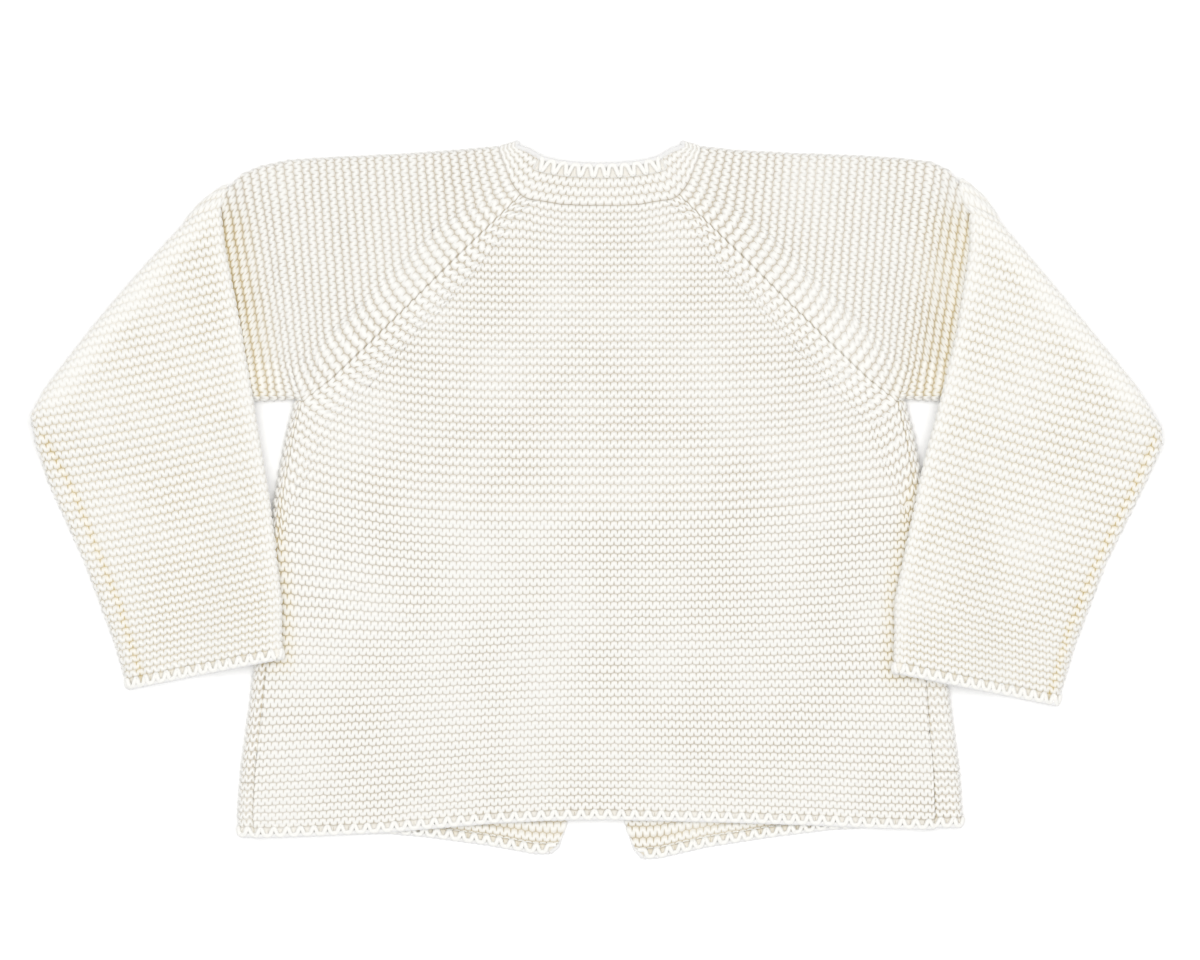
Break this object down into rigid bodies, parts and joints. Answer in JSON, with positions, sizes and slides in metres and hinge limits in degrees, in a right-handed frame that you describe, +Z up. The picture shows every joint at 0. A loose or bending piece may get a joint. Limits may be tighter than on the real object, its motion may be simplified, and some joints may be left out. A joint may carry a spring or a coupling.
{
  "type": "baby cardigan",
  "caption": "Baby cardigan in cream garter stitch with raglan sleeves and a zigzag edging, laid flat with its back up and both sleeves folded down.",
  "frame": {"origin": "middle of the laid-out garment's footprint, on the surface that it lies on", "axes": "+Z up from the surface to the back of the garment, +Y from the hem towards the neck, +X towards the right sleeve as seen from above"},
  "size_m": [0.4545, 0.287, 0.0105],
  "materials": {
    "knit_back": "matt cream wool in garter stitch",
    "knit_fronts": "matt cream wool in garter stitch",
    "knit_edging": "matt cream wool in close ribs with a looped edge",
    "knit_sleeves": "matt cream wool in garter stitch"
  },
  "bodies": {
    "root": {"back": "knit_back", "front_left": "knit_fronts", "front_right": "knit_fronts", "neck_band": "knit_edging", "sleeve_left": "knit_sleeves", "sleeve_right": "knit_sleeves"}
  },
  "joints": []
}
